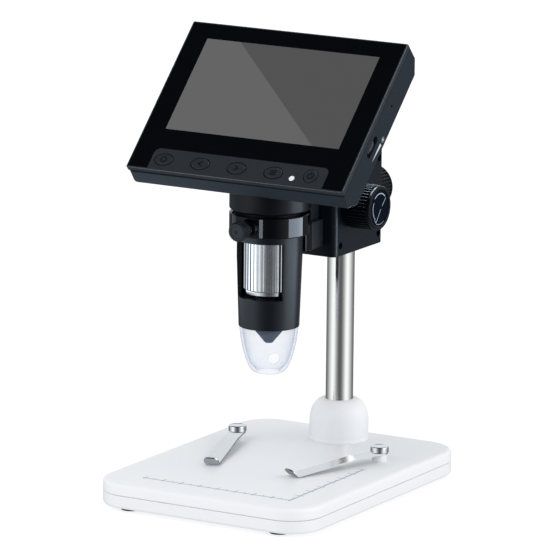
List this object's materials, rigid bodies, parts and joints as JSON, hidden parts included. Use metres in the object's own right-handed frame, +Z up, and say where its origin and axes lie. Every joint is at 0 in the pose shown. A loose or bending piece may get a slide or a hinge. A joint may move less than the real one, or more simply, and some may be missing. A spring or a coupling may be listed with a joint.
{
  "type": "lcd digital microscope",
  "caption": "Bench microscope with a fixed tilted screen on a short camera barrel, held in a ring on a rack-and-pinion carriage, on a chrome post with a white plastic base and spring clips.",
  "frame": {"origin": "on the table, at the centre of the whole outline", "axes": "+X to the right of someone who faces the screen, +Y from the screen towards the post, +Z up along the post and the barrel"},
  "size_m": [0.1188, 0.168, 0.2221],
  "materials": {
    "base_plastic": "satin",
    "base_underside": "satin",
    "rubber": "matte",
    "screw_steel": "satin",
    "chrome": "polished",
    "spring_steel": "polished",
    "brass": "satin",
    "end_cap_plastic": "satin",
    "sleeve_plastic": "matte",
    "block_plastic": "fine grain",
    "knob_plastic": "satin",
    "knob_cap_plastic": "satin",
    "slide_plastic": "satin",
    "ring_gloss": "high gloss",
    "thumb_plastic": "satin",
    "housing_plastic": "satin",
    "cover_glass": "clear over a black print",
    "display": "unlit screen",
    "circuit_board": "solder mask",
    "battery_wrap": "satin",
    "connector_metal": "satin",
    "light_window": "frosted",
    "button_plastic": "satin",
    "dimmer_plastic": "satin",
    "barrel_plastic": "satin",
    "flex_cable": "satin",
    "led_board_white": "matte",
    "led_lens": "clear domes",
    "wheel_metal": "knurled",
    "lens_plastic": "satin",
    "lens_glass": "clear",
    "clear_plastic": "clear"
  },
  "bodies": {
    "base": {"base_top_shell": "base_plastic", "base_bottom_shell": "base_underside", "clip_standoffs": "base_plastic", "rubber_feet": "rubber", "base_screws": "screw_steel", "post_collar": "base_plastic", "post": "chrome", "post_end_cap": "end_cap_plastic", "post_insert": "brass", "post_washer": "screw_steel", "post_bolt": "screw_steel"},
    "left_clip": {"left_clip_leaf": "spring_steel", "left_clip_stud": "chrome"},
    "right_clip": {"right_clip_leaf": "spring_steel", "right_clip_stud": "chrome"},
    "clamp_sleeve_body": {"clamp_sleeve": "sleeve_plastic"},
    "carriage": {"carriage_left_half": "block_plastic", "carriage_right_half": "block_plastic", "carriage_screws": "screw_steel", "clamp_nut": "screw_steel"},
    "clamp_knob_body": {"clamp_knob": "knob_plastic", "clamp_stud": "screw_steel"},
    "focus_pinion": {"focus_shaft": "screw_steel", "left_focus_knob": "knob_plastic", "right_focus_knob": "knob_plastic", "knob_caps": "knob_cap_plastic"},
    "focus_slide_body": {"focus_slide": "slide_plastic", "focus_rack": "brass", "ring_clamp": "ring_gloss", "slide_screws": "screw_steel"},
    "thumb_screw": {"thumb_screw_head": "thumb_plastic", "thumb_screw_shank": "screw_steel"},
    "head": {"front_bezel": "housing_plastic", "rear_shell": "housing_plastic", "cover_glass": "cover_glass", "display_panel": "display", "main_board": "circuit_board", "battery": "battery_wrap", "usb_socket": "connector_metal", "card_socket": "connector_metal", "status_light": "light_window", "housing_screws": "screw_steel", "key_board": "circuit_board", "dimmer_pot": "dimmer_plastic", "barrel_tube": "barrel_plastic", "barrel_plug": "barrel_plastic", "sensor_board": "circuit_board", "sensor_cable": "flex_cable", "led_board": "led_board_white", "leds": "led_lens"},
    "dimmer_wheel_body": {"dimmer_wheel": "dimmer_plastic"},
    "capture_button_body": {"capture_button": "button_plastic"},
    "down_button_body": {"down_button": "button_plastic"},
    "up_button_body": {"up_button": "button_plastic"},
    "menu_button_body": {"menu_button": "button_plastic"},
    "power_button_body": {"power_button": "button_plastic"},
    "focus_wheel_body": {"focus_wheel": "wheel_metal"},
    "lens_body": {"lens_carrier": "lens_plastic", "lens": "lens_glass"},
    "light_cap_body": {"light_cap": "clear_plastic"}
  },
  "joints": [
    {"name": "left_clip_swing", "type": "hinge", "parent": "base", "child": "left_clip", "pos_m": [-0.04, 0.0217, 0.018], "axis": [0, 0, 1], "range_deg": [-30, 75]},
    {"name": "right_clip_swing", "type": "hinge", "parent": "base", "child": "right_clip", "pos_m": [0.04, 0.0217, 0.018], "axis": [0, 0, 1], "range_deg": [-75, 30]},
    {"name": "carriage_height", "type": "slide", "parent": "base", "child": "clamp_sleeve_body", "axis": [0, 0, 1], "range_m": [-0.04, 0.024]},
    {"name": "carriage_swivel", "type": "hinge", "parent": "clamp_sleeve_body", "child": "carriage", "pos_m": [0, 0.052, 0.1355], "axis": [0, 0, 1], "range_deg": [-90, 90]},
    {"name": "clamp_knob_turn", "type": "hinge", "parent": "carriage", "child": "clamp_knob_body", "pos_m": [0, 0.0675, 0.1355], "axis": [0, 1, 0], "range_deg": [0, 540]},
    {"name": "focus_travel", "type": "slide", "parent": "carriage", "child": "focus_slide_body", "axis": [0, 0, 1], "range_m": [-0.001, 0.013]},
    {"name": "pinion_turn", "type": "hinge", "parent": "carriage", "child": "focus_pinion", "pos_m": [0, 0.03507, 0.1355], "axis": [1, 0, 0], "range_deg": [-178, 14]},
    {"name": "thumb_screw_turn", "type": "hinge", "parent": "focus_slide_body", "child": "thumb_screw", "pos_m": [0, -0.0426, 0.1345], "axis": [0, -1, 0], "range_deg": [0, 360]},
    {"name": "head_swivel", "type": "hinge", "parent": "focus_slide_body", "child": "head", "pos_m": [0, -0.017, 0.1345], "axis": [0, 0, 1], "range_deg": [-75, 75]},
    {"name": "brightness_turn", "type": "hinge", "parent": "head", "child": "dimmer_wheel_body", "pos_m": [0.05195, -0.02401, 0.17765], "axis": [0, -0.7071, 0.7071], "range_deg": [0, 270]},
    {"name": "capture_press", "type": "slide", "parent": "head", "child": "capture_button_body", "axis": [0, 0.7071, -0.7071], "range_m": [0, 0.0005], "stiffness_N_per_m": 400, "springref_m": -0.0005},
    {"name": "down_press", "type": "slide", "parent": "head", "child": "down_button_body", "axis": [0, 0.7071, -0.7071], "range_m": [0, 0.0005], "stiffness_N_per_m": 400, "springref_m": -0.0005},
    {"name": "up_press", "type": "slide", "parent": "head", "child": "up_button_body", "axis": [0, 0.7071, -0.7071], "range_m": [0, 0.0005], "stiffness_N_per_m": 400, "springref_m": -0.0005},
    {"name": "menu_press", "type": "slide", "parent": "head", "child": "menu_button_body", "axis": [0, 0.7071, -0.7071], "range_m": [0, 0.0005], "stiffness_N_per_m": 400, "springref_m": -0.0005},
    {"name": "power_press", "type": "slide", "parent": "head", "child": "power_button_body", "axis": [0, 0.7071, -0.7071], "range_m": [0, 0.0005], "stiffness_N_per_m": 400, "springref_m": -0.0005},
    {"name": "focus_wheel_turn", "type": "hinge", "parent": "head", "child": "focus_wheel_body", "pos_m": [0, -0.017, 0.113], "axis": [0, 0, 1], "range_deg": [-180, 180]},
    {"name": "lens_travel", "type": "slide", "parent": "head", "child": "lens_body", "axis": [0, 0, 1], "range_m": [-0.003, 0.003]},
    {"name": "light_cap_pull", "type": "slide", "parent": "head", "child": "light_cap_body", "axis": [0, 0, -1], "range_m": [0, 0.012]}
  ],
  "couplings": [
    {"joint": "pinion_turn", "follows": "focus_travel", "rad_per_m": -238.1},
    {"joint": "focus_wheel_turn", "follows": "lens_travel", "rad_per_m": 1047.2}
  ]
}
